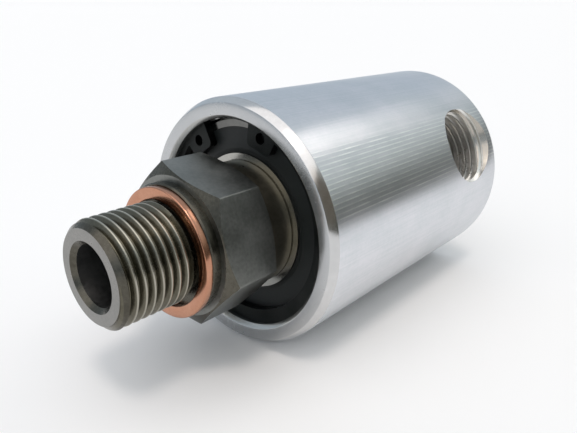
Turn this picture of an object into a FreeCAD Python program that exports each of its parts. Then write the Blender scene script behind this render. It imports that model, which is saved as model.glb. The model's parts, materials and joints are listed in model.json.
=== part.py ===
"""Hydraulic rotary union with one passage and a side port.

A steel rotor turns in two sealed ball bearings inside an aluminium housing.
Oil enters at the side port, fills the chamber behind the rotor and leaves
through the bore of the threaded spigot.

Millimetres. The spin axis is X. x = 0 is the housing's rear face, and x falls
towards the spigot's tip. +Z is up. Angles about the spin axis are in degrees,
counted from +Z towards -Y.
"""
import FreeCAD
import Part
import math
import os

# ---- threads, the same size on the spigot and in the side port ----
thread_diameter = 20.955        # G 1/2, over the crests

# ---- seats and running fits, all radial ----
seat_clearance = 0.02           # a ring in its housing bore or on its shaft seat
running_clearance = 0.04        # a seal lip or ring round the turning rotor
journal_clearance = 0.10        # the rotor's journal in the housing
port_clearance = 0.03           # over the crests of the mating thread
ball_clearance = 0.015          # a ball in its raceway
pocket_clearance = 0.12         # a ball in its cage pocket
washer_clearance = 0.06         # the loose washer where it hangs on the spigot

# ---- side port and chamber ----
rear_land = 3.65                # wall between the port and the rear face
port_land = 2.9                 # wall between the port and the seal gland
port_angle = 65.2               # where the port points
port_countersink = 0.75         # wider than the port's radius, at the mouth
port_depth = 22.5               # of the port's drilling, from the housing's crown
chamber_wall = 5.2              # thickness of the closed rear end
chamber_corner = 1.5            # radius in the chamber's bottom corner

# ---- pressure seal in its gland ----
gland_width = 3.2
gland_depth = 3.75              # from the journal to the bottom of the gland
slip_ring_side = 0.15           # clearance beside the slip ring in its gland
slip_ring_thickness = 1.26
slip_ring_edge = 0.25
gland_land = 2.1                # wall between the gland and the oil seal's seat

# ---- oil seal behind the bearings ----
oil_seal_width = 7.0
oil_seal_height = 6.5           # radial, from the journal to the seat
oil_seal_sheet = 0.9            # thickness of its pressed steel case
oil_seal_flange = 4.3           # radial height of the case's flange
oil_seal_edge = 0.4
rubber_foot = 1.0               # thickness of the rubber bonded to the flange
rubber_foot_height = 3.4
membrane = 1.15                 # thickness of the rubber between foot and lip
membrane_lift = 1.3             # the membrane's foot stands this far off the journal
lip_reach = 3.9                 # from the flange to the sealing edge
lip_overrun = 1.35              # of the lip's head, each side of the sealing edge
lip_head = 2.1                  # radial height of the lip's head
garter_radius = 0.78            # of the garter spring's section
garter_offset = 0.4             # from the sealing edge towards the flange
clip_space = 3.0                # room for the shaft circlip beside the oil seal

# ---- ball bearings, two alike ----
bearing_bore = 25.0
bearing_width = 12.0
bearing_edge = 0.6
ball_diameter = 6.35
ball_count = 10
race_wall = 2.31                # steel behind the bottom of each raceway
race_opening = 0.125            # the raceway's section is this much larger than the ball, radial
race_depth = 0.74               # from the shoulder to the bottom of the groove
shield_step = 0.95              # radial step in the outer ring for its seal
shield_depth = 1.9              # axial depth of that step
shield_lock = 0.4               # radial depth of the groove that holds the seal
shield_recess = 0.25            # the seal's face lies this far inside the ring's
shield_thickness = 1.15
shield_lip_height = 1.0         # radial height of the seal's tapered lip
shield_lip_land = 0.46          # axial width of the lip's edge
cage_width = 1.9                # radial
cage_sheet = 0.42               # thickness of the pressed ribbons
rivet_radius = 0.55
rivet_head = 0.3
spacer_length = 6.0
outer_spacer_wall = 2.4
inner_spacer_wall = 2.6

# ---- housing ----
housing_radius = 28.0
front_edge_radial = 1.1
front_edge_axial = 1.8
rear_edge = 0.4
mouth_edge_radial = 0.8
mouth_edge_axial = 1.0
bearing_recess = 4.0            # from the front face to the bearing's face
step_edge = 0.5                 # lead-in chamfer of the inner bore

# ---- circlip in the housing's mouth ----
housing_clip_thickness = 1.75
housing_clip_play = 0.05
housing_clip_depth = 1.25       # of its groove
housing_clip_wide = 4.2         # radial width of the band opposite the gap
housing_clip_narrow = 2.3       # and beside the lugs
housing_clip_lug = 6.35         # radial height of the lugs
housing_clip_gap = 35.2         # angle between the lugs
housing_clip_lug_angle = 20.0
housing_clip_hole = 1.25        # radius of the plier holes
housing_clip_hole_edge = 1.5    # from the lug's end to its hole
housing_clip_turn = -8.9        # where the gap is

# ---- circlip on the rotor ----
shaft_clip_thickness = 1.2
shaft_clip_play = 0.05
shaft_clip_depth = 0.55
shaft_clip_wide = 3.3
shaft_clip_narrow = 2.0
shaft_clip_lug = 4.3
shaft_clip_gap = 28.0
shaft_clip_lug_angle = 24.0
shaft_clip_hole = 1.0
shaft_clip_hole_edge = 1.0
shaft_clip_turn = 150.0

# ---- rotor ----
journal_diameter = 22.0
journal_overrun = 2.6           # the rotor's end past the gland
journal_edge = 0.8
seat_tail = 1.5                 # bearing seat left behind the shaft circlip
seat_edge = 0.3
fluid_bore = 12.0
bore_edge = 0.9
neck_height = 1.6               # shoulder against the front bearing's inner ring
neck_length = 6.5               # from the hexagon to the bearing
neck_edge = 0.3
hexagon_flats = 30.0
hexagon_height = 13.0
hexagon_turn = 14.5             # where one flat faces
hexagon_face_inset = 0.3        # the turned faces end this far inside the flats
collar_diameter = 27.0
collar_height = 2.0
collar_edge = 0.3
spigot_length = 17.0
spigot_edge = 1.28
relief_width = 0.8
relief_diameter = 18.2

# ---- copper sealing washer ----
washer_bore = 22.0
washer_width = 2.5              # radial
washer_thickness = 1.5
washer_edge = 0.15

# ---- stations along the spin axis, from the rear forward ----
port_radius = thread_diameter / 2 + port_clearance
port_x = -(rear_land + port_radius)
gland_rear_x = port_x - port_radius - port_land
gland_front_x = gland_rear_x - gland_width
oil_seal_rear_x = gland_front_x - gland_land
oil_seal_front_x = oil_seal_rear_x - oil_seal_width
flange_x = oil_seal_front_x + oil_seal_sheet
stack_rear_x = oil_seal_front_x - clip_space
rear_bearing_x = stack_rear_x - bearing_width
spacer_x = rear_bearing_x - spacer_length
front_bearing_x = spacer_x - bearing_width
front_x = front_bearing_x - bearing_recess
chamber_end_x = -chamber_wall
hexagon_rear_x = front_bearing_x - neck_length
hexagon_front_x = hexagon_rear_x - hexagon_height
shoulder_x = hexagon_front_x - collar_height
tip_x = shoulder_x - spigot_length
rotor_end_x = gland_rear_x + journal_overrun

# ---- radii that several pieces share ----
journal_radius = journal_diameter / 2
gland_radius = journal_radius + gland_depth
oil_seal_radius = journal_radius + oil_seal_height
shaft_radius = bearing_bore / 2 - seat_clearance
ball_radius = ball_diameter / 2
race_radius = ball_radius + race_opening
inner_race_radius = bearing_bore / 2 + race_wall
pitch_radius = inner_race_radius + ball_clearance + ball_radius
outer_race_radius = pitch_radius + ball_radius + ball_clearance
bearing_radius = outer_race_radius + race_wall
housing_bore_radius = bearing_radius + seat_clearance
inner_shoulder_radius = inner_race_radius + race_depth
outer_shoulder_radius = outer_race_radius - race_depth
shield_seat_radius = outer_shoulder_radius + shield_step
lip_radius = journal_radius + running_clearance
slip_ring_radius = lip_radius + slip_ring_thickness
washer_radius = washer_bore / 2 + washer_width

ORIGIN = FreeCAD.Vector(0, 0, 0)
SPIN_AXIS = FreeCAD.Vector(1, 0, 0)
SAME_RADIUS = 0.01              # two radii this close are the same edge


def turned(profile):
    """Solid turned about the spin axis from a closed outline of (x, radius) points."""
    corners = [FreeCAD.Vector(x, 0, radius) for x, radius in profile]
    outline = Part.makePolygon(corners + corners[:1])
    return Part.Face(outline).revolve(ORIGIN, SPIN_AXIS, 360)


def turned_ring(x, section_radius, radius):
    """Ring of round section about the spin axis."""
    return Part.makeTorus(radius, section_radius, FreeCAD.Vector(x, 0, 0), SPIN_AXIS)


def disc(x, thickness, radius, lift=0.0):
    """Round plate across the spin axis, its centre lifted along Z."""
    return Part.makeCylinder(radius, thickness, FreeCAD.Vector(x, 0, lift), SPIN_AXIS)


def sector(x, thickness, radius, start, end):
    """Wedge of a round plate between two angles about the spin axis."""
    reach = radius / math.cos(math.radians((end - start) / 2))
    corners = [FreeCAD.Vector(x, 0, 0)]
    for angle in (start, (start + end) / 2, end):
        turn = math.radians(angle)
        corners.append(FreeCAD.Vector(x, -reach * math.sin(turn), reach * math.cos(turn)))
    outline = Part.makePolygon(corners + corners[:1])
    return Part.Face(outline).extrude(FreeCAD.Vector(thickness, 0, 0))


def turned_about_axis(shape, angle):
    """Copy of a shape, turned about the spin axis."""
    copy = shape.copy()
    copy.rotate(ORIGIN, SPIN_AXIS, angle)
    return copy


def make_port_cutter():
    """The port's bore and countersink, pointing up before it is turned into place."""
    up = FreeCAD.Vector(0, 0, 1)
    bore_base = FreeCAD.Vector(port_x, 0, housing_radius - port_depth)
    bore = Part.makeCylinder(port_radius, port_depth, bore_base, up)
    mouth_radius = port_radius + port_countersink
    countersink_base = FreeCAD.Vector(port_x, 0, housing_radius - port_countersink)
    countersink = Part.makeCone(port_radius, mouth_radius, port_countersink, countersink_base, up)
    return turned_about_axis(bore.fuse(countersink), port_angle)


def make_housing():
    """One-piece bar-turned housing, bored from the front and closed at the rear."""
    bore = housing_bore_radius
    seal_bore = oil_seal_radius + seat_clearance
    chamber = journal_radius + journal_clearance
    blank = turned([
        (front_x, 0),
        (front_x, housing_radius - front_edge_radial),
        (front_x + front_edge_axial, housing_radius),
        (-rear_edge, housing_radius),
        (0, housing_radius - rear_edge),
        (0, 0),
    ])
    cavity = turned([
        (front_x, 0),
        (front_x, bore + mouth_edge_radial),
        (front_x + mouth_edge_axial, bore),
        (stack_rear_x, bore),
        (stack_rear_x, seal_bore + step_edge),
        (stack_rear_x + step_edge, seal_bore),
        (oil_seal_rear_x, seal_bore),
        (oil_seal_rear_x, chamber + step_edge),
        (oil_seal_rear_x + step_edge, chamber),
        (chamber_end_x - chamber_corner, chamber),
        (chamber_end_x, chamber - chamber_corner),
        (chamber_end_x, 0),
    ])
    groove_width = housing_clip_thickness + 2 * housing_clip_play
    groove_x = front_bearing_x - housing_clip_thickness - housing_clip_play
    clip_groove = disc(groove_x, groove_width, bearing_radius + housing_clip_depth)
    gland = disc(gland_front_x, gland_width, gland_radius)
    housing = blank.cut(cavity).cut(clip_groove).cut(gland).cut(make_port_cutter())
    return housing.removeSplitter()


def make_hexagon():
    """Spanner hexagon with both faces chamfered at 30 degrees."""
    corner_radius = hexagon_flats / 2 / math.cos(math.pi / 6)
    face_radius = hexagon_flats / 2 - hexagon_face_inset
    bevel = (corner_radius - face_radius) * math.tan(math.pi / 6)
    corners = []
    for side in range(6):
        turn = math.radians(hexagon_turn) + (side + 0.5) * math.pi / 3
        y = -corner_radius * math.sin(turn)
        z = corner_radius * math.cos(turn)
        corners.append(FreeCAD.Vector(hexagon_front_x, y, z))
    outline = Part.makePolygon(corners + corners[:1])
    prism = Part.Face(outline).extrude(FreeCAD.Vector(hexagon_height, 0, 0))
    bevelled = turned([
        (hexagon_front_x, 0),
        (hexagon_front_x, face_radius),
        (hexagon_front_x + bevel, corner_radius),
        (hexagon_rear_x - bevel, corner_radius),
        (hexagon_rear_x, face_radius),
        (hexagon_rear_x, 0),
    ])
    return prism.common(bevelled)


def make_rotor():
    """Hollow rotor: spigot, collar, hexagon, neck, bearing seat and seal journal."""
    thread_radius = thread_diameter / 2
    relief_radius = relief_diameter / 2
    relief_x = shoulder_x - relief_width
    relief_slope = thread_radius - relief_radius
    collar_radius = collar_diameter / 2
    neck_radius = bearing_bore / 2 + neck_height
    clip_x = stack_rear_x - shaft_clip_play
    groove_radius = bearing_bore / 2 - shaft_clip_depth
    clip_end_x = stack_rear_x + shaft_clip_thickness + shaft_clip_play
    seat_end_x = clip_end_x + seat_tail
    body = turned([
        (tip_x, 0),
        (tip_x, thread_radius - spigot_edge),
        (tip_x + spigot_edge, thread_radius),
        (relief_x - relief_slope, thread_radius),
        (relief_x, relief_radius),
        (shoulder_x, relief_radius),
        (shoulder_x, collar_radius - collar_edge),
        (shoulder_x + collar_edge, collar_radius),
        (hexagon_front_x, collar_radius),
        (hexagon_rear_x, collar_radius),
        (hexagon_rear_x, neck_radius),
        (front_bearing_x - neck_edge, neck_radius),
        (front_bearing_x, neck_radius - neck_edge),
        (front_bearing_x, shaft_radius),
        (clip_x, shaft_radius),
        (clip_x, groove_radius),
        (clip_end_x, groove_radius),
        (clip_end_x, shaft_radius),
        (seat_end_x - seat_edge, shaft_radius),
        (seat_end_x, shaft_radius - seat_edge),
        (seat_end_x, journal_radius),
        (rotor_end_x - journal_edge, journal_radius),
        (rotor_end_x, journal_radius - journal_edge),
        (rotor_end_x, 0),
    ])
    bore_radius = fluid_bore / 2
    bore = turned([
        (tip_x, 0),
        (tip_x, bore_radius + bore_edge),
        (tip_x + bore_edge, bore_radius),
        (rotor_end_x - bore_edge, bore_radius),
        (rotor_end_x, bore_radius + bore_edge),
        (rotor_end_x, 0),
    ])
    return body.fuse(make_hexagon()).cut(bore).removeSplitter()


def make_washer():
    """Flat copper ring, hanging loose on the spigot against the collar."""
    front = shoulder_x - washer_thickness
    washer = turned([
        (front, washer_bore / 2),
        (front, washer_radius - washer_edge),
        (front + washer_edge, washer_radius),
        (shoulder_x - washer_edge, washer_radius),
        (shoulder_x, washer_radius - washer_edge),
        (shoulder_x, washer_bore / 2),
    ])
    drop = (washer_bore - thread_diameter) / 2 - washer_clearance
    washer.translate(FreeCAD.Vector(0, 0, -drop))
    return washer


def make_outer_ring(x):
    """Bearing outer ring with its raceway and a stepped seat for a seal at each side."""
    lock_radius = shield_seat_radius + shield_lock
    outside = bearing_radius
    rear = x + bearing_width
    lock_start = shield_depth / 2
    ring = turned([
        (x, shield_seat_radius),
        (x, outside - bearing_edge),
        (x + bearing_edge, outside),
        (rear - bearing_edge, outside),
        (rear, outside - bearing_edge),
        (rear, shield_seat_radius),
        (rear - lock_start, shield_seat_radius),
        (rear - lock_start, lock_radius),
        (rear - shield_depth, lock_radius),
        (rear - shield_depth, outer_shoulder_radius),
        (x + shield_depth, outer_shoulder_radius),
        (x + shield_depth, lock_radius),
        (x + lock_start, lock_radius),
        (x + lock_start, shield_seat_radius),
    ])
    race = turned_ring(x + bearing_width / 2, race_radius, outer_race_radius - race_radius)
    return ring.cut(race)


def make_inner_ring(x):
    """Bearing inner ring with its raceway."""
    bore = bearing_bore / 2
    rear = x + bearing_width
    ring = turned([
        (x, bore + bearing_edge),
        (x, inner_shoulder_radius),
        (rear, inner_shoulder_radius),
        (rear, bore + bearing_edge),
        (rear - bearing_edge, bore),
        (x + bearing_edge, bore),
    ])
    race = turned_ring(x + bearing_width / 2, race_radius, inner_race_radius + race_radius)
    return ring.cut(race)


def ball_centre(x, index):
    """Centre of one ball of the bearing whose front face is at x."""
    turn = math.radians(360 / ball_count * index)
    y = -pitch_radius * math.sin(turn)
    z = pitch_radius * math.cos(turn)
    return FreeCAD.Vector(x + bearing_width / 2, y, z)


def make_balls(x):
    """All balls of one bearing, as separate solids."""
    balls = [Part.makeSphere(ball_radius, ball_centre(x, i)) for i in range(ball_count)]
    return Part.makeCompound(balls)


def make_cage(x):
    """Pressed ribbon cage: two wavy halves that cup the balls, riveted between them."""
    middle = x + bearing_width / 2
    inside = pitch_radius - cage_width / 2
    outside = pitch_radius + cage_width / 2
    pocket_radius = ball_radius + pocket_clearance
    cup_radius = pocket_radius + cage_sheet
    web = disc(middle - cage_sheet, 2 * cage_sheet, outside)
    cups = []
    pockets = []
    rivets = []
    for index in range(ball_count):
        centre = ball_centre(x, index)
        cups.append(Part.makeSphere(cup_radius, centre))
        pockets.append(Part.makeSphere(pocket_radius, centre))
        between = ball_centre(x, index + 0.5)
        rivet_start = FreeCAD.Vector(middle - cage_sheet - rivet_head, between.y, between.z)
        rivet_length = 2 * (cage_sheet + rivet_head)
        rivets.append(Part.makeCylinder(rivet_radius, rivet_length, rivet_start, SPIN_AXIS))
    ribbon = web.multiFuse(cups + rivets)
    band = turned([
        (x, inside),
        (x, outside),
        (x + bearing_width, outside),
        (x + bearing_width, inside),
    ])
    return ribbon.common(band).cut(Part.makeCompound(pockets))


def make_shield(face_x, inward):
    """Rubber-faced bearing seal, snapped into the outer ring. inward is +1 or -1."""
    def at(depth):
        return face_x + inward * depth

    bead_start = shield_depth / 2 + seat_clearance
    bead_end = shield_depth - seat_clearance
    outer = shield_seat_radius - seat_clearance
    bead = outer + shield_lock
    back = shield_recess + shield_thickness
    lip = inner_shoulder_radius + running_clearance
    lip_root = lip + shield_lip_height
    lip_slope = (shield_thickness - shield_lip_land) / 2
    return turned([
        (at(shield_recess), lip_root),
        (at(shield_recess), outer),
        (at(bead_start), outer),
        (at(bead_start), bead),
        (at(bead_end), bead),
        (at(bead_end), outer - shield_step),
        (at(back), outer - 2 * shield_step),
        (at(back), lip_root),
        (at(back - lip_slope), lip),
        (at(shield_recess + lip_slope), lip),
    ])


def make_spacer(inside, outside):
    """Plain sleeve between the two bearings."""
    edge = bearing_edge / 2
    rear = spacer_x + spacer_length
    return turned([
        (spacer_x, inside + edge),
        (spacer_x, outside - edge),
        (spacer_x + edge, outside),
        (rear - edge, outside),
        (rear, outside - edge),
        (rear, inside + edge),
        (rear - edge, inside),
        (spacer_x + edge, inside),
    ])


def make_lugs(x, thickness, root_radius, end_radius, half_gap, lug_angle, hole_radius, hole_edge):
    """The two ears of a circlip and their plier holes, with the gap pointing up."""
    low = min(root_radius, end_radius)
    high = max(root_radius, end_radius)
    hole_distance = end_radius + math.copysign(hole_radius + hole_edge, root_radius - end_radius)
    ears = []
    holes = []
    for side in (-1, 1):
        near = side * half_gap
        far = side * (half_gap + lug_angle)
        wedge = sector(x, thickness, high, min(near, far), max(near, far))
        ear = disc(x, thickness, high).cut(disc(x, thickness, low)).common(wedge)
        end_corners = []
        for edge in ear.Edges:
            ends = [vertex.Point for vertex in edge.Vertexes]
            along = len(ends) == 2 and abs(ends[0].x - ends[1].x) > thickness / 2
            if along and abs(math.hypot(ends[0].y, ends[0].z) - end_radius) < SAME_RADIUS:
                end_corners.append(edge)
        ears.append(ear.makeFillet(hole_radius, end_corners))
        middle = math.radians(side * (half_gap + lug_angle / 2))
        hole_y = -hole_distance * math.sin(middle)
        hole_z = hole_distance * math.cos(middle)
        hole_base = FreeCAD.Vector(x, hole_y, hole_z)
        holes.append(Part.makeCylinder(hole_radius, thickness, hole_base, SPIN_AXIS))
    return ears, holes


def make_housing_clip():
    """Internal circlip that keeps the front bearing in the housing."""
    x = front_bearing_x - housing_clip_thickness
    thickness = housing_clip_thickness
    outside = bearing_radius + housing_clip_depth - seat_clearance
    half_gap = housing_clip_gap / 2
    inside = outside - (housing_clip_wide + housing_clip_narrow) / 2
    lift = (housing_clip_wide - housing_clip_narrow) / 2
    band = disc(x, thickness, outside).cut(disc(x, thickness, inside, lift))
    band = band.cut(sector(x, thickness, 2 * outside, -half_gap, half_gap))
    ears, holes = make_lugs(x, thickness, outside, outside - housing_clip_lug, half_gap,
                            housing_clip_lug_angle, housing_clip_hole, housing_clip_hole_edge)
    clip = band.multiFuse(ears).cut(Part.makeCompound(holes))
    return turned_about_axis(clip.removeSplitter(), housing_clip_turn)


def make_shaft_clip():
    """External circlip that keeps the rotor in the bearings."""
    x = stack_rear_x
    thickness = shaft_clip_thickness
    inside = bearing_bore / 2 - shaft_clip_depth + seat_clearance
    half_gap = shaft_clip_gap / 2
    outside = inside + (shaft_clip_wide + shaft_clip_narrow) / 2
    lift = -(shaft_clip_wide - shaft_clip_narrow) / 2
    band = disc(x, thickness, outside, lift).cut(disc(x, thickness, inside))
    band = band.cut(sector(x, thickness, 2 * outside, -half_gap, half_gap))
    ears, holes = make_lugs(x, thickness, inside, inside + shaft_clip_lug, half_gap,
                            shaft_clip_lug_angle, shaft_clip_hole, shaft_clip_hole_edge)
    clip = band.multiFuse(ears).cut(Part.makeCompound(holes))
    return turned_about_axis(clip.removeSplitter(), shaft_clip_turn)


def make_oil_seal_case():
    """Pressed steel case of the oil seal, an L in section."""
    front = oil_seal_front_x
    outside = oil_seal_radius
    inside = outside - oil_seal_sheet
    flange_radius = outside - oil_seal_flange
    return turned([
        (front, flange_radius),
        (front, outside - oil_seal_edge),
        (front + oil_seal_edge, outside),
        (oil_seal_rear_x, outside),
        (oil_seal_rear_x, inside),
        (flange_x, inside),
        (flange_x, flange_radius),
    ])


def garter_ring(section_radius):
    """The garter spring's ring, or its seat when the section is a little larger."""
    garter_x = flange_x + lip_reach - garter_offset
    return turned_ring(garter_x, section_radius, lip_radius + lip_head + garter_radius / 2)


def make_oil_seal_lip():
    """Rubber lip of the oil seal, bonded to the case and open towards the chamber."""
    lip = lip_radius
    sealing_edge_x = flange_x + lip_reach
    section = turned([
        (flange_x, lip + membrane_lift),
        (flange_x, lip + membrane_lift + rubber_foot_height),
        (flange_x + rubber_foot, lip + membrane_lift + rubber_foot_height),
        (flange_x + rubber_foot, lip + membrane_lift + membrane),
        (sealing_edge_x - lip_overrun, lip + lip_head),
        (sealing_edge_x + lip_overrun, lip + lip_head),
        (sealing_edge_x + lip_overrun, lip + lip_overrun),
        (sealing_edge_x, lip),
    ])
    return section.cut(garter_ring(garter_radius + seat_clearance))


def make_slip_ring():
    """Low-friction ring that rides on the journal and seals the oil pressure."""
    front = gland_front_x + slip_ring_side
    rear = gland_rear_x - slip_ring_side
    return turned([
        (front, lip_radius + slip_ring_edge),
        (front, slip_ring_radius),
        (rear, slip_ring_radius),
        (rear, lip_radius + slip_ring_edge),
        (rear - slip_ring_edge, lip_radius),
        (front + slip_ring_edge, lip_radius),
    ])


def make_energiser():
    """O-ring that presses the slip ring onto the journal, drawn as squeezed."""
    middle = (gland_front_x + gland_rear_x) / 2
    section = (gland_radius - slip_ring_radius) / 2
    return turned_ring(middle, section - seat_clearance, slip_ring_radius + section)


def bearing_pieces(name, x):
    """The six pieces of one sealed ball bearing."""
    return {
        name + "_outer_ring": make_outer_ring(x),
        name + "_inner_ring": make_inner_ring(x),
        name + "_balls": make_balls(x),
        name + "_cage": make_cage(x),
        name + "_front_shield": make_shield(x, 1),
        name + "_rear_shield": make_shield(x + bearing_width, -1),
    }


def build():
    """Every piece of the union by its node name."""
    pieces = {
        "housing": make_housing(),
        "rotor": make_rotor(),
        "copper_washer": make_washer(),
        "housing_circlip": make_housing_clip(),
        "shaft_circlip": make_shaft_clip(),
        "outer_spacer": make_spacer(housing_bore_radius - 2 * seat_clearance - outer_spacer_wall,
                                    housing_bore_radius - 2 * seat_clearance),
        "inner_spacer": make_spacer(shaft_radius + 2 * seat_clearance,
                                    shaft_radius + 2 * seat_clearance + inner_spacer_wall),
        "oil_seal_case": make_oil_seal_case(),
        "oil_seal_lip": make_oil_seal_lip(),
        "garter_spring": garter_ring(garter_radius),
        "pressure_slip_ring": make_slip_ring(),
        "pressure_o_ring": make_energiser(),
    }
    pieces.update(bearing_pieces("front_bearing", front_bearing_x))
    pieces.update(bearing_pieces("rear_bearing", rear_bearing_x))
    return pieces


os.makedirs("parts", exist_ok=True)
for node, shape in build().items():
    shape.exportStep("parts/" + node + ".step")
    print(node, "valid", shape.isValid(), "solids", len(shape.Solids), "volume", round(shape.Volume, 2))
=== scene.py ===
import json
import math
import bpy
from mathutils import Matrix, Vector


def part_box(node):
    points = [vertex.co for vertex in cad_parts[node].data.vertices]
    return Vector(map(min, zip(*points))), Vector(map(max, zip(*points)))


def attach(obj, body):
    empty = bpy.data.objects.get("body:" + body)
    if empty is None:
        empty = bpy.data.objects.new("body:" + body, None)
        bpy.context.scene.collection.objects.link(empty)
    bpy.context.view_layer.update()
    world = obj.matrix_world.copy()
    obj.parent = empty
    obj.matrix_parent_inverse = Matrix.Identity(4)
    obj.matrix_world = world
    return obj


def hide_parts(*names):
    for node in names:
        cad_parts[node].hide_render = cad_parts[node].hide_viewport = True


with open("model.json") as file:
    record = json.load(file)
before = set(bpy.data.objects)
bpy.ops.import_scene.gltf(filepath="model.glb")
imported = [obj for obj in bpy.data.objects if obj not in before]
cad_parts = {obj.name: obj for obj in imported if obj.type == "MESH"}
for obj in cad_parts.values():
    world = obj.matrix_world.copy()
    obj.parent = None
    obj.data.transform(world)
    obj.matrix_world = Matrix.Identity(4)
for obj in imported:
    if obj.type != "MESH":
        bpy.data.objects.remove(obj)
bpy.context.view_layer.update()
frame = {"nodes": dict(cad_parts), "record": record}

mounts = {mount["name"]: mount for mount in frame["record"]["mounts"]}
MM = 0.001

# ---- housing ----
# One piece of aluminium bar, turned bright outside, faced at both ends and bored from the front for
# the bearings, the oil seal and the pressure chamber. Its side port is drilled and tapped G 1/2.
housing_low, housing_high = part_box("housing")
rear_seat_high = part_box("rear_bearing_outer_ring")[1]
oil_seal_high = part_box("oil_seal_case")[1]
gland_low, gland_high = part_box("pressure_o_ring")
clip_low, clip_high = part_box("housing_circlip")
front_x = housing_low.x
housing_radius = housing_high.z
seat_gap = 0.02 * MM
bearing_seat = rear_seat_high.z + seat_gap
seal_seat = oil_seal_high.z + seat_gap
gland_radius = gland_high.z + seat_gap
gland_middle = (gland_low.x + gland_high.x) / 2
gland_half = 1.6 * MM
chamber_radius = 11.1 * MM
chamber_end = -5.2 * MM
chamber_corner = 1.5 * MM
front_chamfer_across = 1.1 * MM
front_chamfer_along = 1.8 * MM
rear_chamfer = 0.4 * MM
mouth_chamfer_across = 0.8 * MM
mouth_chamfer_along = 1.0 * MM
step_chamfer = 0.5 * MM
clip_groove_radius = 24.75 * MM
clip_groove_play = 0.05 * MM
edge_break = 0.09 * MM
housing_segments = 288


def start_alone():
    """Nothing selected, so that the next operator acts on one piece only."""
    if bpy.context.object and bpy.context.object.mode != "OBJECT":
        bpy.ops.object.mode_set(mode="OBJECT")
    bpy.ops.object.select_all(action="DESELECT")


def pick(piece):
    start_alone()
    piece.select_set(True)
    bpy.context.view_layer.objects.active = piece


def turn_on_lathe(name, stations, segments, ring=False):
    """A turned piece about the X axis, extruded as a round loop from station to station (x, radius).

    A ring's last station meets its first. Any other piece is closed by a round face at each end.
    """
    start_alone()
    x, radius = stations[0]
    bpy.ops.mesh.primitive_circle_add(vertices=segments, radius=radius, fill_type="NOTHING",
                                      location=(x, 0, 0), rotation=(0, math.pi / 2, 0))
    piece = bpy.context.object
    piece.name = name
    bpy.ops.object.transform_apply(location=True, rotation=True, scale=True)
    bpy.ops.object.mode_set(mode="EDIT")
    bpy.ops.mesh.select_mode(type="EDGE")
    bpy.ops.mesh.select_all(action="SELECT")
    for next_x, next_radius in stations[1:] + (stations[:1] if ring else []):
        bpy.ops.mesh.extrude_region_move(TRANSFORM_OT_translate={"value": (next_x - x, 0, 0)})
        grow = next_radius / radius
        bpy.ops.transform.resize(value=(1, grow, grow), center_override=(next_x, 0, 0))
        x, radius = next_x, next_radius
    bpy.ops.mesh.select_all(action="SELECT")
    bpy.ops.mesh.remove_doubles(threshold=0.0005 * MM)
    if not ring:
        bpy.ops.mesh.fill_holes(sides=0)
    bpy.ops.mesh.select_all(action="SELECT")
    bpy.ops.mesh.normals_make_consistent(inside=False)
    bpy.ops.object.mode_set(mode="OBJECT")
    return piece


def finish_modifier(piece, kind, **settings):
    """Add one modifier with its settings and apply it."""
    pick(piece)
    modifier = piece.modifiers.new(kind.lower(), kind)
    for setting, value in settings.items():
        setattr(modifier, setting, value)
    bpy.ops.object.modifier_apply(modifier=modifier.name)


def break_edges(piece, width, segments=2, angle=25):
    """The small edge break that every machined edge has."""
    finish_modifier(piece, "BEVEL", width=width, segments=segments, limit_method="ANGLE",
                    angle_limit=math.radians(angle), use_clamp_overlap=True)


def combine(piece, tool, operation):
    """Cut, join or intersect a piece with a tool, which is used up. Cut faces take the tool's material."""
    finish_modifier(piece, "BOOLEAN", object=tool, operation=operation, solver="EXACT",
                    material_mode="TRANSFER")
    bpy.data.objects.remove(tool)


def smooth(piece, angle=30):
    pick(piece)
    bpy.ops.object.shade_smooth_by_angle(angle=math.radians(angle))


turned_housing = turn_on_lathe("turned_housing", [
    (0, housing_radius - rear_chamfer),
    (-rear_chamfer, housing_radius),
    (front_x + front_chamfer_along, housing_radius),
    (front_x, housing_radius - front_chamfer_across),
    (front_x, bearing_seat + mouth_chamfer_across),
    (front_x + mouth_chamfer_along, bearing_seat),
    (clip_low.x - clip_groove_play, bearing_seat),
    (clip_low.x - clip_groove_play, clip_groove_radius),
    (clip_high.x + clip_groove_play, clip_groove_radius),
    (clip_high.x + clip_groove_play, bearing_seat),
    (rear_seat_high.x, bearing_seat),
    (rear_seat_high.x, seal_seat + step_chamfer),
    (rear_seat_high.x + step_chamfer, seal_seat),
    (oil_seal_high.x, seal_seat),
    (oil_seal_high.x, chamber_radius + step_chamfer),
    (oil_seal_high.x + step_chamfer, chamber_radius),
    (gland_middle - gland_half, chamber_radius),
    (gland_middle - gland_half, gland_radius),
    (gland_middle + gland_half, gland_radius),
    (gland_middle + gland_half, chamber_radius),
    (chamber_end - chamber_corner, chamber_radius),
    (chamber_end, chamber_radius - chamber_corner),
], housing_segments)
break_edges(turned_housing, edge_break)


# Aluminium's own finishes. Turning leaves fine rings round the axis, and drawing the bar has left
# faint streaks along it. Pale raised lines along the axis in one sector are a painted reflection.
def add_node(tree, kind, **settings):
    node = tree.nodes.new(kind)
    for setting, value in settings.items():
        setattr(node, setting, value)
    return node


def join(tree, source, target):
    tree.links.new(source, target)


def start_group(name, inputs, outputs):
    """A shader node group with named number inputs (default value each) and named outputs."""
    group = bpy.data.node_groups.new(name, "ShaderNodeTree")
    for label, value in inputs.items():
        socket = group.interface.new_socket(name=label, in_out="INPUT", socket_type="NodeSocketFloat")
        socket.default_value = value
    for label, kind in outputs.items():
        group.interface.new_socket(name=label, in_out="OUTPUT", socket_type=kind)
    return group, add_node(group, "NodeGroupInput"), add_node(group, "NodeGroupOutput")


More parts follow.
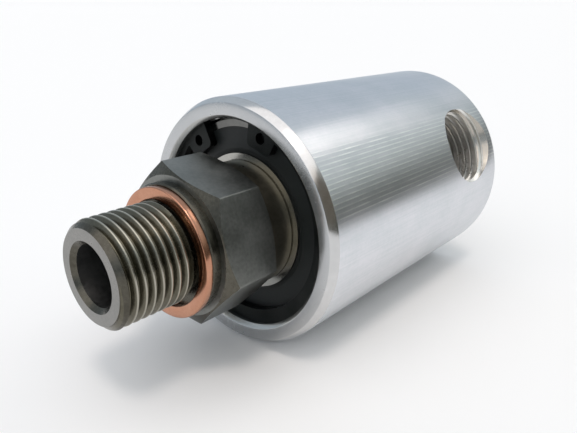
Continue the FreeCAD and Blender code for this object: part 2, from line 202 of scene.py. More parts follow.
def arithmetic(tree, operation, first, second=None, third=None, clamp=False):
    """One Math node. Each value is a number or a socket."""
    node = add_node(tree, "ShaderNodeMath", operation=operation, use_clamp=clamp)
    for index, value in enumerate((first, second, third)):
        if value is None:
            continue
        if isinstance(value, (int, float)):
            node.inputs[index].default_value = value
        else:
            join(tree, value, node.inputs[index])
    return node.outputs[0]


def polar_place(tree):
    """x along the axis, distance from it, and the direction round it as a unit sine and cosine."""
    place = add_node(tree, "ShaderNodeTexCoord").outputs["Object"]
    split = add_node(tree, "ShaderNodeSeparateXYZ")
    join(tree, place, split.inputs[0])
    x, y, z = split.outputs
    squares = arithmetic(tree, "ADD", arithmetic(tree, "MULTIPLY", y, y), arithmetic(tree, "MULTIPLY", z, z))
    distance = arithmetic(tree, "MAXIMUM", arithmetic(tree, "SQRT", squares), 0.00001)
    sine = arithmetic(tree, "DIVIDE", arithmetic(tree, "MULTIPLY", y, -1.0), distance)
    cosine = arithmetic(tree, "DIVIDE", z, distance)
    return x, distance, sine, cosine


def noise_at(tree, first, second, third, detail=2.0):
    """Smooth random value from 0 to 1 at three coordinates counted in noise cells."""
    place = add_node(tree, "ShaderNodeCombineXYZ")
    for index, value in enumerate((first, second, third)):
        join(tree, value, place.inputs[index])
    noise = add_node(tree, "ShaderNodeTexNoise")
    noise.inputs["Scale"].default_value = 1.0
    noise.inputs["Detail"].default_value = detail
    join(tree, place.outputs[0], noise.inputs["Vector"])
    return noise.outputs["Factor"] if "Factor" in noise.outputs else noise.outputs["Fac"]


def make_lathe_rings():
    """Fine rings that a turning tool leaves. Rings per metre and how far one lasts round the axis."""
    group, given, result = start_group(
        "lathe_rings", {"Rings per metre": 4000.0, "Breaks round the axis": 2.0},
        {"Height": "NodeSocketFloat"})
    x, distance, sine, cosine = polar_place(group)
    face_share = 1.37
    across = arithmetic(group, "ADD", x, arithmetic(group, "MULTIPLY", distance, face_share))
    breaks = given.outputs["Breaks round the axis"]
    noise = noise_at(group, arithmetic(group, "MULTIPLY", across, given.outputs["Rings per metre"]),
                     arithmetic(group, "MULTIPLY", sine, breaks),
                     arithmetic(group, "MULTIPLY", cosine, breaks))
    join(group, noise, result.inputs["Height"])
    return group


def make_painted_lines_and_streaks():
    """Raised lines along the axis in one sector, for a painted reflection, and drawing streaks all round."""
    group, given, result = start_group(
        "painted_lines_and_streaks",
        {"Spacing in degrees": 2.0, "Breaks per metre": 45.0, "Middle": 62.0, "Half width": 17.0},
        {"Height": "NodeSocketFloat", "Streaks": "NodeSocketFloat"})
    x, _, sine, cosine = polar_place(group)
    angle = arithmetic(group, "DEGREES", arithmetic(group, "ARCTAN2", sine, cosine))
    along = arithmetic(group, "MULTIPLY", x, given.outputs["Breaks per metre"])
    count = arithmetic(group, "DIVIDE", angle, given.outputs["Spacing in degrees"])
    line = arithmetic(group, "FLOOR", count)
    in_line = arithmetic(group, "SUBTRACT", arithmetic(group, "FRACT", count), 0.5)
    from_middle = arithmetic(group, "ABSOLUTE", in_line)
    ridge = arithmetic(group, "SUBTRACT", 1.0, arithmetic(group, "MULTIPLY", from_middle, 4.5), clamp=True)
    dashes = arithmetic(group, "MULTIPLY", along, 4.0)
    strength = noise_at(group, arithmetic(group, "MULTIPLY", line, 3.7), dashes, line)
    off_middle = arithmetic(group, "ABSOLUTE", arithmetic(group, "SUBTRACT", angle, given.outputs["Middle"]))
    off_share = arithmetic(group, "DIVIDE", off_middle, given.outputs["Half width"])
    sector = arithmetic(group, "SUBTRACT", 1.0, off_share, clamp=True)
    sector = arithmetic(group, "MULTIPLY", sector, 4.0, clamp=True)
    height = arithmetic(group, "MULTIPLY", ridge, arithmetic(group, "POWER", strength, 1.5))
    join(group, arithmetic(group, "MULTIPLY", height, sector), result.inputs["Height"])
    streaks_round = 70.0
    streaks = noise_at(group, along, arithmetic(group, "MULTIPLY", sine, streaks_round),
                       arithmetic(group, "MULTIPLY", cosine, streaks_round), detail=3.0)
    join(group, streaks, result.inputs["Streaks"])
    return group


def make_handling_marks():
    """Cloudy smears and small dull spots that handling and cutting oil leave on bare metal."""
    group, given, result = start_group(
        "handling_marks", {"Clouds per metre": 60.0, "Spots per metre": 900.0}, {"Marks": "NodeSocketFloat"})
    place = add_node(group, "ShaderNodeTexCoord").outputs["Object"]
    values = []
    for label in ("Clouds per metre", "Spots per metre"):
        noise = add_node(group, "ShaderNodeTexNoise")
        noise.inputs["Detail"].default_value = 3.0
        join(group, place, noise.inputs["Vector"])
        join(group, given.outputs[label], noise.inputs["Scale"])
        values.append(noise.outputs[0])
    marks = arithmetic(group, "ADD", arithmetic(group, "MULTIPLY", values[0], 0.6),
                       arithmetic(group, "MULTIPLY", values[1], 0.4))
    join(group, marks, result.inputs["Marks"])
    return group


lathe_rings = make_lathe_rings()
painted_lines_and_streaks = make_painted_lines_and_streaks()
handling_marks = make_handling_marks()


def place_group(tree, group, **inputs):
    node = add_node(tree, "ShaderNodeGroup", node_tree=group)
    for label, value in inputs.items():
        node.inputs[label.replace("_", " ")].default_value = value
    return node


def spread(tree, value, low, high, from_low=0.3, from_high=0.7):
    """Map a random value onto a range."""
    node = add_node(tree, "ShaderNodeMapRange")
    for label, number in (("From Min", from_low), ("From Max", from_high), ("To Min", low), ("To Max", high)):
        node.inputs[label].default_value = number
    join(tree, value, node.inputs["Value"])
    return node.outputs["Result"]


def blend_colours(tree, mask, first, second):
    """Mix from the first colour to the second by a mask. Each is a colour or a socket."""
    node = add_node(tree, "ShaderNodeMix", data_type="RGBA")
    join(tree, mask, node.inputs["Factor"])
    for socket, value in ((node.inputs[6], first), (node.inputs[7], second)):
        if isinstance(value, tuple):
            socket.default_value = (*value, 1.0)
        else:
            join(tree, value, socket)
    return node.outputs[2]


def start_metal(name, anisotropy=0.0):
    """A bare metal with its grooves round the X axis. Returns its nodes and its shader."""
    material = bpy.data.materials.new(name)
    material.use_nodes = True
    tree = material.node_tree
    shader = tree.nodes["Principled BSDF"]
    shader.inputs["Metallic"].default_value = 1.0
    if anisotropy:
        shader.inputs["Anisotropic"].default_value = anisotropy
        shader.inputs["Anisotropic Rotation"].default_value = 0.25
        tangent = add_node(tree, "ShaderNodeTangent", direction_type="RADIAL", axis="X")
        join(tree, tangent.outputs[0], shader.inputs["Tangent"])
    return material, tree, shader


def raise_surface(tree, shader, height, strength, distance):
    bump = add_node(tree, "ShaderNodeBump")
    bump.inputs["Strength"].default_value = strength
    bump.inputs["Distance"].default_value = distance
    join(tree, height, bump.inputs["Height"])
    join(tree, bump.outputs[0], shader.inputs["Normal"])


def make_bright_bar():
    """The housing's bright outside."""
    material, tree, shader = start_metal("bright_turned_bar", anisotropy=0.6)
    rings = place_group(tree, lathe_rings, Rings_per_metre=5200.0, Breaks_round_the_axis=1.5).outputs[0]
    lines_and_streaks = place_group(tree, painted_lines_and_streaks).outputs
    lines = lines_and_streaks["Height"]
    marks = place_group(tree, handling_marks, Clouds_per_metre=110.0, Spots_per_metre=1100.0).outputs[0]
    mottle = arithmetic(tree, "ADD", arithmetic(tree, "MULTIPLY", lines_and_streaks["Streaks"], 0.4),
                        arithmetic(tree, "MULTIPLY", marks, 0.6))
    clean = blend_colours(tree, spread(tree, mottle, 0.0, 1.0, 0.38, 0.62),
                          (0.635, 0.665, 0.69), (0.735, 0.74, 0.775))
    # Painted reflection: the raised lines in their sector are lightened almost to white.
    join(tree, blend_colours(tree, spread(tree, lines, 0.0, 1.0, 0.05, 0.35), clean, (0.93, 0.95, 0.94)),
         shader.inputs["Base Color"])
    bands = place_group(tree, lathe_rings, Rings_per_metre=60.0, Breaks_round_the_axis=1.0).outputs[0]
    join(tree, spread(tree, bands, 0.28, 0.33), shader.inputs["Roughness"])
    relief = arithmetic(tree, "ADD", arithmetic(tree, "MULTIPLY", rings, 0.1), lines)
    raise_surface(tree, shader, relief, 1.0, 0.02 * MM)
    return material


def make_bare_aluminium(name, colour, roughness, ring_strength):
    """Machined aluminium with plainer turning rings, or none."""
    material, tree, shader = start_metal(name, anisotropy=0.4 if ring_strength else 0.0)
    marks = place_group(tree, handling_marks, Clouds_per_metre=90.0).outputs[0]
    darker = tuple(channel * 0.86 for channel in colour)
    stained = blend_colours(tree, spread(tree, marks, 0.0, 1.0), darker, colour)
    join(tree, stained, shader.inputs["Base Color"])
    join(tree, spread(tree, marks, roughness * 0.8, roughness * 1.25), shader.inputs["Roughness"])
    height = marks
    if ring_strength:
        height = place_group(tree, lathe_rings, Rings_per_metre=2600.0, Breaks_round_the_axis=0.8).outputs[0]
    raise_surface(tree, shader, height, ring_strength or 0.1, 0.01 * MM)
    return material


bright_bar = make_bright_bar()
faced_aluminium = make_bare_aluminium("faced_aluminium", (0.54, 0.55, 0.56), 0.24, 0.25)
bored_aluminium = make_bare_aluminium("bored_aluminium", (0.56, 0.56, 0.54), 0.22, 0.2)
tapped_aluminium = make_bare_aluminium("tapped_aluminium", (0.95, 0.935, 0.90), 0.31, 0.0)
countersunk_aluminium = make_bare_aluminium("countersunk_aluminium", (0.48, 0.45, 0.40), 0.24, 0.0)
chamfered_aluminium = make_bare_aluminium("chamfered_aluminium", (0.66, 0.66, 0.66), 0.17, 0.12)
for finish in (bright_bar, faced_aluminium, bored_aluminium, chamfered_aluminium):
    turned_housing.data.materials.append(finish)
for face in turned_housing.data.polygons:
    outside = (face.center.yz.length > housing_radius - front_chamfer_across * 1.5)
    if abs(face.normal.x) > 0.95 and face.center.yz.length > bearing_seat:
        face.material_index = 1
    elif not outside:
        face.material_index = 2
    elif face.normal.x < -0.3:
        face.material_index = 3

# The oil port's drilling, countersink and thread. The thread is cut as a tap cuts it, by one
# helical groove of rounded V section, which runs out on the housing's round outside.
port_axis = Vector(mounts["pressure_port"]["axis"])
port_foot = Vector((mounts["pressure_port"]["pos_m"][0], 0, 0))
thread_pitch = 1.814 * MM
thread_crest_radius = mounts["spigot_thread"]["dims"]["r_mm"] * MM
thread_root_radius = 9.3155 * MM
thread_round = 0.249 * MM
thread_flank = math.radians(27.5)
countersink_radius = 11.05 * MM
countersink_slope = math.tan(math.radians(30))
drill_end = 5.5 * MM
port_segments = 192
beyond_surface = 1.0 * MM
tap_start = 3.2 * MM
tap_turns = 15
tap_steps = 96
tap_overlap = 0.15 * MM


def stand_on_port(tool):
    """Turn a tool made about the X axis onto the port's axis."""
    turn = Vector((1, 0, 0)).rotation_difference(port_axis).to_matrix().to_4x4()
    tool.data.transform(Matrix.Translation(port_foot) @ turn)
    tool.data.update()


def tool_like(tool, material):
    tool.data.materials.append(material)
    return tool


def sweep_thread(name, section, turns, steps, close_section):
    """A right-hand helix about the X axis swept by a section of (x, radius) points."""
    start_alone()
    bpy.ops.mesh.primitive_circle_add(vertices=len(section), radius=1.0, fill_type="NOTHING")
    piece = bpy.context.object
    piece.name = name
    for vertex, (x, radius) in zip(piece.data.vertices, section):
        vertex.co = (x, 0, radius)
    if not close_section:
        bpy.ops.object.mode_set(mode="EDIT")
        bpy.ops.mesh.select_mode(type="EDGE")
        bpy.ops.mesh.select_all(action="DESELECT")
        bpy.ops.object.mode_set(mode="OBJECT")
        for edge in piece.data.edges:
            edge.select = set(edge.vertices) == {0, len(section) - 1}
        bpy.ops.object.mode_set(mode="EDIT")
        bpy.ops.mesh.delete(type="EDGE")
        bpy.ops.object.mode_set(mode="OBJECT")
    finish_modifier(piece, "SCREW", axis="X", angle=2 * math.pi * turns, screw_offset=thread_pitch * turns,
                    steps=steps * turns, render_steps=steps * turns, use_normal_calculate=True)
    bpy.ops.object.mode_set(mode="EDIT")
    bpy.ops.mesh.select_all(action="SELECT")
    bpy.ops.mesh.remove_doubles(threshold=0.002 * MM)
    bpy.ops.mesh.fill_holes(sides=0)
    bpy.ops.mesh.select_all(action="SELECT")
    bpy.ops.mesh.normals_make_consistent(inside=False)
    bpy.ops.object.mode_set(mode="OBJECT")
    return piece


countersink_depth = (countersink_radius - thread_root_radius) / countersink_slope
port_drill = turn_on_lathe("port_drill", [
    (drill_end, thread_root_radius),
    (housing_radius - countersink_depth, thread_root_radius),
    (housing_radius + beyond_surface, countersink_radius + beyond_surface * countersink_slope),
], port_segments)
tool_like(port_drill, tapped_aluminium)
tool_like(port_drill, countersunk_aluminium)
for face in port_drill.data.polygons:
    cylindrical = abs(face.normal.x) < 0.01
    face.material_index = 0 if cylindrical else 1
stand_on_port(port_drill)
combine(turned_housing, port_drill, "DIFFERENCE")


def groove_section(root, opening):
    """Rounded V groove, from its opening radius out to its root radius, as (x, radius) points."""
    points = []
    centre = root - thread_round
    for step in (-1.0, -0.5, 0.0, 0.5, 1.0):
        angle = (math.pi / 2 - thread_flank) * step
        points.append((thread_round * math.sin(angle), centre + thread_round * math.cos(angle)))
    last_x, last_radius = points[-1]
    reach = last_x + abs(opening - last_radius) * math.tan(thread_flank)
    return points + [(reach, opening), (-reach, opening)]


port_tap = sweep_thread("port_tap", groove_section(thread_crest_radius, thread_root_radius - tap_overlap),
                        tap_turns, tap_steps, True)
port_tap.data.transform(Matrix.Translation((tap_start, 0, 0)))
tool_like(port_tap, tapped_aluminium)
stand_on_port(port_tap)
combine(turned_housing, port_tap, "DIFFERENCE")
smooth(turned_housing)
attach(turned_housing, "stator")
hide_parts("housing")

# ---- rotor ----
# Turned from one steel bar: threaded spigot with its relief, collar, spanner hexagon, neck,
# ground bearing seat and seal journal, drilled through for the oil. Dark burnished finish.
rotor_low, rotor_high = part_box("rotor")
tip_x = rotor_low.x
rotor_end = rotor_high.x
washer_low, washer_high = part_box("copper_washer")
shoulder_x = washer_high.x
front_bearing_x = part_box("front_bearing_inner_ring")[0].x
bore_radius = mounts["fluid_bore"]["dims"]["r_mm"] * MM
bore_chamfer = 0.9 * MM
tip_chamfer = 1.28 * MM
relief_radius = 9.1 * MM
relief_width = 0.8 * MM
collar_radius = 13.5 * MM
collar_height = 2.0 * MM
hexagon_half = 15.0 * MM
hexagon_height = 13.0 * MM
hexagon_turn = math.radians(14.5)
hexagon_face = 14.7 * MM
neck_radius = 14.1 * MM
seat_radius = 12.48 * MM
seat_end = -40.115 * MM
seat_edge = 0.3 * MM
journal_radius = 11.0 * MM
clip_groove = 11.95 * MM
clip_groove_front = rear_seat_high.x - 0.05 * MM
clip_groove_rear = rear_seat_high.x + 1.25 * MM
journal_chamfer = 0.8 * MM
small_chamfer = 0.3 * MM
hexagon_front = shoulder_x + collar_height
hexagon_rear = hexagon_front + hexagon_height
rotor_segments = 192
spigot_segments = 256
spigot_turns = 12
spigot_steps = 128
thread_run_in = 2.2 * MM
crest_play = 0.05 * MM
joined_depth = 0.5 * MM
on_plane = 0.1 * MM
painted_shade_before_relief = 2.0 * MM


def make_steel(name, colour, worn_colour, roughness, anisotropy, rings_per_metre, ring_strength):
    """Machined steel with rubbed lighter patches. Turned steel shows its rings, the rest a fine grain."""
    material, tree, shader = start_metal(name, anisotropy)
    marks = place_group(tree, handling_marks, Clouds_per_metre=120.0, Spots_per_metre=1500.0).outputs[0]
    worn = blend_colours(tree, spread(tree, marks, 0.0, 1.0), colour, worn_colour)
    join(tree, worn, shader.inputs["Base Color"])
    join(tree, spread(tree, marks, roughness * 0.75, roughness * 1.3), shader.inputs["Roughness"])
    height = marks
    if rings_per_metre:
        height = place_group(tree, lathe_rings, Rings_per_metre=rings_per_metre,
                             Breaks_round_the_axis=1.0).outputs[0]
    raise_surface(tree, shader, height, ring_strength, 0.01 * MM)
    return material


turned_steel = make_steel("dark_turned_steel", (0.20, 0.20, 0.19), (0.29, 0.28, 0.265),
                          0.24, 0.3, 3600.0, 0.2)
milled_steel = make_steel("dark_milled_steel", (0.15, 0.155, 0.145), (0.28, 0.285, 0.27),
                          0.38, 0.0, 0.0, 0.5)
# Painted reflection: this warm brown copy of the rotor's steel stands in for the golden reflections on the
# neck.
painted_reflection_neck_steel = make_steel("dark_neck_steel_painted_reflection", (0.15, 0.14, 0.105), (0.25, 0.23, 0.18),
                        0.33, 0.3, 1200.0, 0.1)
# Painted shade: a much darker copy of the rotor's steel. It covers the collar, the hexagon's chamfer cones,
# the spigot's end by its relief, and the tip and bore chamfers.
painted_shade_steel = make_steel("dark_steel_painted_shade", (0.065, 0.06, 0.048), (0.13, 0.122, 0.10),
                          0.26, 0.3, 3000.0, 0.15)
bored_steel = make_steel("dark_bored_steel", (0.12, 0.122, 0.122), (0.21, 0.212, 0.21),
                         0.42, 0.0, 3000.0, 0.3)


def make_threaded_steel():
    """The spigot's thread: dark in its grooves, brighter on its crests from rubbing and a painted highlight.
    """
    material, tree, shader = start_metal("dark_threaded_steel", anisotropy=0.2)
    marks = place_group(tree, handling_marks, Clouds_per_metre=120.0, Spots_per_metre=1500.0).outputs[0]
    # Partly rubbing wear, partly painted highlight: the colour brightens within 0.17 mm of the crest.
    crest_wear_and_highlight = spread(tree, polar_place(tree)[1], 0.0, 1.0, thread_crest_radius - 0.17 * MM,
                    thread_crest_radius - 0.03 * MM)
    grooves = blend_colours(tree, spread(tree, marks, 0.0, 1.0), (0.095, 0.088, 0.066), (0.165, 0.154, 0.118))
    join(tree, blend_colours(tree, crest_wear_and_highlight, grooves, (0.42, 0.40, 0.34)), shader.inputs["Base Color"])
    join(tree, spread(tree, marks, 0.2, 0.3), shader.inputs["Roughness"])
    raise_surface(tree, shader, marks, 0.1, 0.01 * MM)
    return material


threaded_steel = make_threaded_steel()


def thread_wave():
    """One pitch of the G thread from root to root, rounded at crest and root, as (x, radius) points."""
    points = []
    for middle, centre, side in ((0.0, thread_root_radius + thread_round, -1),
                                 (0.5, thread_crest_radius - thread_round, 1),
                                 (1.0, thread_root_radius + thread_round, -1)):
        for step in (-1.0, -0.5, 0.0, 0.5, 1.0):
            if (middle == 0.0 and step < 0) or (middle == 1.0 and step > 0):
                continue
            angle = (math.pi / 2 - thread_flank) * step
            points.append((middle * thread_pitch + thread_round * math.sin(angle),
                           centre + side * thread_round * math.cos(angle)))
    return points


threaded_rotor = sweep_thread("threaded_rotor", thread_wave(), spigot_turns, spigot_steps, False)
threaded_rotor.data.transform(Matrix.Translation((tip_x - thread_run_in, 0, 0)))
relief_x = shoulder_x - relief_width
blank_radius = thread_crest_radius + crest_play
spigot_blank = turn_on_lathe("spigot_blank", [
    (tip_x, thread_crest_radius - tip_chamfer),
    (tip_x + tip_chamfer + crest_play, blank_radius),
    (relief_x - (blank_radius - relief_radius), blank_radius),
    (relief_x, relief_radius),
    (shoulder_x + joined_depth, relief_radius),
], spigot_segments)
tool_like(threaded_rotor, threaded_steel)
tool_like(spigot_blank, turned_steel)
tool_like(spigot_blank, painted_shade_steel)
# Painted shade and painted dark reflection: the tip chamfer and the last 2 mm before the relief take the
# darker steel.
for face in spigot_blank.data.polygons:
    on_tip_chamfer = tip_x + on_plane < face.center.x < tip_x + tip_chamfer
    face.material_index = 1 if on_tip_chamfer or face.center.x > relief_x - painted_shade_before_relief else 0
combine(threaded_rotor, spigot_blank, "INTERSECT")

rotor_body = turn_on_lathe("rotor_body", [
    (shoulder_x, relief_radius - 0.4 * MM),
    (shoulder_x, collar_radius - small_chamfer),
    (shoulder_x + small_chamfer, collar_radius),
    (hexagon_front + joined_depth, collar_radius),
    (hexagon_front + joined_depth, neck_radius - 1 * MM),
    (hexagon_rear - joined_depth, neck_radius - 1 * MM),
    (hexagon_rear - joined_depth, neck_radius),
    (front_bearing_x - small_chamfer, neck_radius),
    (front_bearing_x, neck_radius - small_chamfer),
    (front_bearing_x, seat_radius),
    (clip_groove_front, seat_radius),
    (clip_groove_front, clip_groove),
    (clip_groove_rear, clip_groove),
    (clip_groove_rear, seat_radius),
    (seat_end - seat_edge, seat_radius),
    (seat_end, seat_radius - seat_edge),
    (seat_end, journal_radius),
    (rotor_end - journal_chamfer, journal_radius),
    (rotor_end, journal_radius - journal_chamfer),
], rotor_segments)
# Painted shade: the collar between washer and hexagon takes the darker steel.
tool_like(rotor_body, painted_shade_steel)
tool_like(rotor_body, painted_reflection_neck_steel)
for face in rotor_body.data.polygons:
    face.material_index = 1 if face.center.x > hexagon_rear - 0.4 * MM else 0

start_alone()
corner_radius = hexagon_half / math.cos(math.pi / 6)
bpy.ops.mesh.primitive_cylinder_add(vertices=6, radius=corner_radius, depth=hexagon_height,
                                    location=((hexagon_front + hexagon_rear) / 2, 0, 0),
                                    rotation=(0, math.pi / 2, 0))
hexagon = bpy.context.object
bpy.ops.object.transform_apply(location=True, rotation=True, scale=True)
corner = max(hexagon.data.vertices, key=lambda vertex: vertex.co.z).co
corner_turn = math.atan2(-corner.y, corner.z)
hexagon.data.transform(Matrix.Rotation(hexagon_turn + math.pi / 6 - corner_turn, 4, "X"))
tool_like(hexagon, milled_steel)
break_edges(hexagon, 0.2 * MM, segments=3, angle=40)
bevel_rise = corner_radius - hexagon_face
bevel_along = bevel_rise * math.tan(math.pi / 6)
hexagon_blank = turn_on_lathe("hexagon_blank", [
    (hexagon_front - bevel_along, hexagon_face - bevel_rise),
    (hexagon_front + bevel_along, hexagon_face + bevel_rise),
    (hexagon_rear - bevel_along, hexagon_face + bevel_rise),
    (hexagon_rear + bevel_along, hexagon_face - bevel_rise),
], spigot_segments)
# Painted shade: the hexagon's chamfer cones take the darker steel.
tool_like(hexagon_blank, painted_shade_steel)
combine(hexagon, hexagon_blank, "INTERSECT")
combine(rotor_body, hexagon, "UNION")
combine(threaded_rotor, rotor_body, "UNION")
fluid_drill = turn_on_lathe("fluid_drill", [
    (tip_x - beyond_surface, bore_radius + bore_chamfer + beyond_surface),
    (tip_x + bore_chamfer, bore_radius),
    (rotor_end - bore_chamfer, bore_radius),
    (rotor_end + beyond_surface, bore_radius + bore_chamfer + beyond_surface),
], rotor_segments)
tool_like(fluid_drill, bored_steel)
tool_like(fluid_drill, painted_shade_steel)
# Painted dark reflection: the bore's mouth chamfer takes the darker steel.
for face in fluid_drill.data.polygons:
    face.material_index = 1 if face.center.x < tip_x + bore_chamfer else 0
combine(threaded_rotor, fluid_drill, "DIFFERENCE")
smooth(threaded_rotor)
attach(threaded_rotor, "rotor_group")
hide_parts("rotor")

# ---- ball bearings ----
# Two sealed deep-groove bearings: ground rings, ten polished balls, pressed steel cages and
# black rubber seals with no marking.
ground_steel = make_steel("ground_bearing_steel", (0.34, 0.335, 0.31), (0.46, 0.45, 0.42),
                          0.2, 0.3, 8000.0, 0.12)
# Painted shade: the outer rings, deep in the housing's mouth, get a darker copy of the ground ring steel.
painted_shade_ring_steel = make_steel("bearing_steel_painted_shade", (0.12, 0.12, 0.115), (0.18, 0.18, 0.172),
                         0.2, 0.3, 8000.0, 0.12)
polished_steel = make_steel("polished_balls", (0.66, 0.66, 0.66), (0.72, 0.72, 0.72),
                            0.07, 0.0, 0.0, 0.02)
pressed_steel = make_steel("pressed_cage_steel", (0.42, 0.42, 0.41), (0.52, 0.52, 0.50),
                           0.3, 0.0, 0.0, 0.1)


def make_rubber():
    """Moulded black rubber, satin, with a faint grain and paler rubbed spots."""
    material = bpy.data.materials.new("black_rubber")
    material.use_nodes = True
    tree = material.node_tree
    shader = tree.nodes["Principled BSDF"]
    marks = place_group(tree, handling_marks, Clouds_per_metre=150.0, Spots_per_metre=2500.0).outputs[0]
    rubbed = blend_colours(tree, spread(tree, marks, 0.0, 1.0), (0.006, 0.008, 0.008), (0.012, 0.015, 0.015))
    join(tree, rubbed, shader.inputs["Base Color"])
    join(tree, spread(tree, marks, 0.42, 0.6), shader.inputs["Roughness"])
    shader.inputs["Specular IOR Level"].default_value = 0.35
    raise_surface(tree, shader, marks, 0.2, 0.02 * MM)
    return material


black_rubber = make_rubber()


def dress(node, material):
    """Give a CAD node its finish."""
    slots = frame["nodes"][node].data.materials
    slots.clear()
    slots.append(material)


for bearing in ("front_bearing", "rear_bearing"):
    # Painted shade: the outer ring takes the darker copy of the ring steel.
    dress(bearing + "_outer_ring", painted_shade_ring_steel)
    dress(bearing + "_inner_ring", ground_steel)
    dress(bearing + "_balls", polished_steel)
    dress(bearing + "_cage", pressed_steel)
    dress(bearing + "_front_shield", black_rubber)
    dress(bearing + "_rear_shield", black_rubber)

# ---- spacers, oil seal and pressure seal ----
plated_steel = make_steel("zinc_plated_steel", (0.50, 0.51, 0.52), (0.60, 0.61, 0.62),
                          0.3, 0.2, 3000.0, 0.2)
for node in ("outer_spacer", "inner_spacer", "oil_seal_case", "garter_spring"):
    dress(node, plated_steel)
for node in ("oil_seal_lip", "pressure_o_ring"):
    dress(node, black_rubber)


def make_filled_ptfe():
    """Bronze-filled PTFE: dull olive brown with fine bronze specks."""
    material = bpy.data.materials.new("bronze_filled_ptfe")
    material.use_nodes = True
    tree = material.node_tree
    shader = tree.nodes["Principled BSDF"]
    marks = place_group(tree, handling_marks, Clouds_per_metre=200.0, Spots_per_metre=6000.0).outputs[0]
    join(tree, blend_colours(tree, spread(tree, marks, 0.0, 1.0), (0.17, 0.15, 0.10), (0.28, 0.23, 0.13)),
         shader.inputs["Base Color"])
    join(tree, spread(tree, marks, 0.35, 0.5), shader.inputs["Roughness"])
    return material


dress("pressure_slip_ring", make_filled_ptfe())

# ---- circlips ----
# Stamped from spring steel and phosphated black.


def make_black_spring_steel():
    material, tree, shader = start_metal("black_spring_steel")
    marks = place_group(tree, handling_marks, Clouds_per_metre=200.0, Spots_per_metre=3000.0).outputs[0]
    rubbed = blend_colours(tree, spread(tree, marks, 0.0, 1.0), (0.012, 0.014, 0.014), (0.030, 0.032, 0.031))
    join(tree, rubbed, shader.inputs["Base Color"])
    join(tree, spread(tree, marks, 0.32, 0.5), shader.inputs["Roughness"])
    raise_surface(tree, shader, marks, 0.15, 0.02 * MM)
    return material


black_spring_steel = make_black_spring_steel()
dress("housing_circlip", black_spring_steel)
dress("shaft_circlip", black_spring_steel)

# ---- copper washer ----
# Flat ring of soft copper that seals the spigot's thread, hanging loose on it.
washer_bore = 11.0 * MM
washer_edge = 0.22 * MM
washer_radius = (washer_high.y - washer_low.y) / 2
washer_drop = (washer_high.z + washer_low.z) / 2
sealing_washer = turn_on_lathe("sealing_washer", [
    (washer_low.x, washer_bore),
    (washer_low.x, washer_radius),
    (washer_high.x, washer_radius),
    (washer_high.x, washer_bore),
], 256, ring=True)
break_edges(sealing_washer, washer_edge, segments=3)
sealing_washer.data.transform(Matrix.Translation((0, 0, washer_drop)))
smooth(sealing_washer)
copper = make_steel("soft_copper", (0.47, 0.22, 0.135), (0.57, 0.30, 0.20), 0.2, 0.0, 0.0, 0.15)
sealing_washer.data.materials.append(copper)
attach(sealing_washer, "washer")
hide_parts("copper_washer")

# ---- studio ----
# A pale floor under the housing's round side, which rises gently behind the union, in a pale room
# that is darker low down on one side, with a dark figure beside the camera. The light comes from a
# soft window, an overhead lamp and a wide fill.
camera_place = (-0.154716, -0.084525, 0.043514)
camera_direction = Vector((0.70793444, 0.61896911, -0.34015595))
dark_direction = Vector((0.4, -0.917, 0.0))
figure_direction = (-0.30, -0.88, 0.36)
lamp_colour = (1.0, 0.9, 0.83)
floor_near = 0.3
floor_far = 5.0
floor_rise = 0.45
floor_fall = -0.7
start_alone()
bpy.ops.mesh.primitive_circle_add(vertices=96, radius=floor_near, fill_type="NGON", location=(0, 0, 0))
floor = bpy.context.object
floor.name = "floor"
bpy.ops.object.mode_set(mode="EDIT")
bpy.ops.mesh.select_mode(type="EDGE")
bpy.ops.mesh.select_all(action="SELECT")
bpy.ops.mesh.region_to_loop()
bpy.ops.mesh.extrude_region_move()
floor_grow = floor_far / floor_near
bpy.ops.transform.resize(value=(floor_grow, floor_grow, 1), center_override=(0, 0, 0))
bpy.ops.object.mode_set(mode="OBJECT")
level_view = Vector((camera_direction.x, camera_direction.y, 0)).normalized()
for vertex in floor.data.vertices:
    if vertex.co.length > (floor_near + floor_far) / 2:
        behind = vertex.co.normalized().dot(level_view)
        beside = vertex.co.normalized().dot(dark_direction)
        vertex.co.z = floor_rise * max(0, behind) ** 2 + floor_fall * max(0, beside) ** 2
floor.data.transform(Matrix.Translation((0, 0, -housing_radius)))
smooth(floor)
pale = bpy.data.materials.new("pale_floor")
pale.use_nodes = True
floor_shader = pale.node_tree.nodes["Principled BSDF"]
floor_shader.inputs["Base Color"].default_value = (0.93, 0.93, 0.93, 1)
floor_shader.inputs["Roughness"].default_value = 0.9
floor_shader.inputs["Specular IOR Level"].default_value = 0.0
floor.data.materials.append(pale)

sky = bpy.data.worlds.new("studio_room")
bpy.context.scene.world = sky
sky.use_nodes = True
tree = sky.node_tree
background = tree.nodes["Background"]
direction = add_node(tree, "ShaderNodeTexCoord").outputs["Generated"]
towards = add_node(tree, "ShaderNodeSeparateXYZ")
join(tree, direction, towards.inputs[0])
dark_side = arithmetic(tree, "ADD", arithmetic(tree, "MULTIPLY", towards.outputs[0], dark_direction.x),
                       arithmetic(tree, "MULTIPLY", towards.outputs[1], dark_direction.y))
dark_side = spread(tree, dark_side, 0.0, 1.0, 0.15, 0.65)


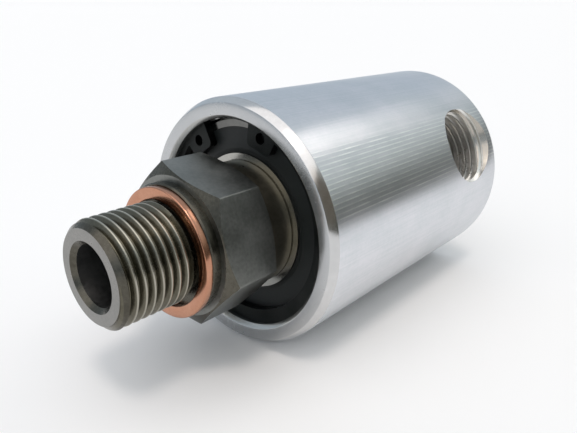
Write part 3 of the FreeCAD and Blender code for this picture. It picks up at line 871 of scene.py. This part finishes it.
def height_shades(*shades):
    """A colour for each height of the direction's Z."""
    ramp = add_node(tree, "ShaderNodeValToRGB")
    join(tree, towards.outputs[2], ramp.inputs[0])
    stops = ramp.color_ramp.elements
    stops[0].position, stops[1].position = shades[0][0], shades[-1][0]
    stops[0].color, stops[1].color = (*shades[0][1], 1), (*shades[-1][1], 1)
    for position, colour in shades[1:-1]:
        stops.new(position).color = (*colour, 1)
    return ramp.outputs[0]


room = height_shades((0.0, (0.42, 0.47, 0.52)), (0.2, (0.50, 0.58, 0.66)), (1.0, (0.58, 0.64, 0.70)))
dark_end = height_shades((0.08, (0.10, 0.105, 0.095)), (0.22, (0.22, 0.235, 0.22)),
                         (0.36, (0.50, 0.54, 0.52)), (0.5, (0.66, 0.71, 0.70)), (1.0, (0.60, 0.66, 0.70)))
towards_figure = add_node(tree, "ShaderNodeVectorMath", operation="DOT_PRODUCT")
join(tree, direction, towards_figure.inputs[0])
towards_figure.inputs[1].default_value = figure_direction
figure = spread(tree, towards_figure.outputs["Value"], 0.0, 1.0, 0.88, 0.96)
surroundings = blend_colours(tree, dark_side, room, dark_end)
join(tree, blend_colours(tree, figure, surroundings, (0.15, 0.135, 0.11)), background.inputs["Color"])


def hang_lamp(name, direction, energy, width):
    """A far round lamp with warm light. Its width is the angle it fills, in degrees."""
    lamp_data = bpy.data.lights.new(name, "SUN")
    lamp_data.energy = energy
    lamp_data.color = lamp_colour
    lamp_data.angle = math.radians(width)
    lamp = bpy.data.objects.new(name, lamp_data)
    bpy.context.scene.collection.objects.link(lamp)
    lamp.rotation_euler = Vector(direction).to_track_quat("Z", "Y").to_euler()


hang_lamp("window", (0.62, -0.24, 0.72), 0.13, 20)
hang_lamp("overhead", (-0.24, -0.27, 0.93), 0.6, 12)
hang_lamp("wide_fill", (-0.45, -0.1, 0.89), 1.07, 80)

camera_data = bpy.data.cameras.new("camera")
camera_data.lens = 34.547
camera_data.sensor_width = 36.0
camera_data.clip_start = 0.01
camera_data.clip_end = 20.0
camera = bpy.data.objects.new("camera", camera_data)
bpy.context.scene.collection.objects.link(camera)
camera.location = camera_place
camera.rotation_euler = camera_direction.to_track_quat("-Z", "Y").to_euler()
bpy.context.scene.camera = camera
bpy.context.scene.view_settings.view_transform = "Standard"
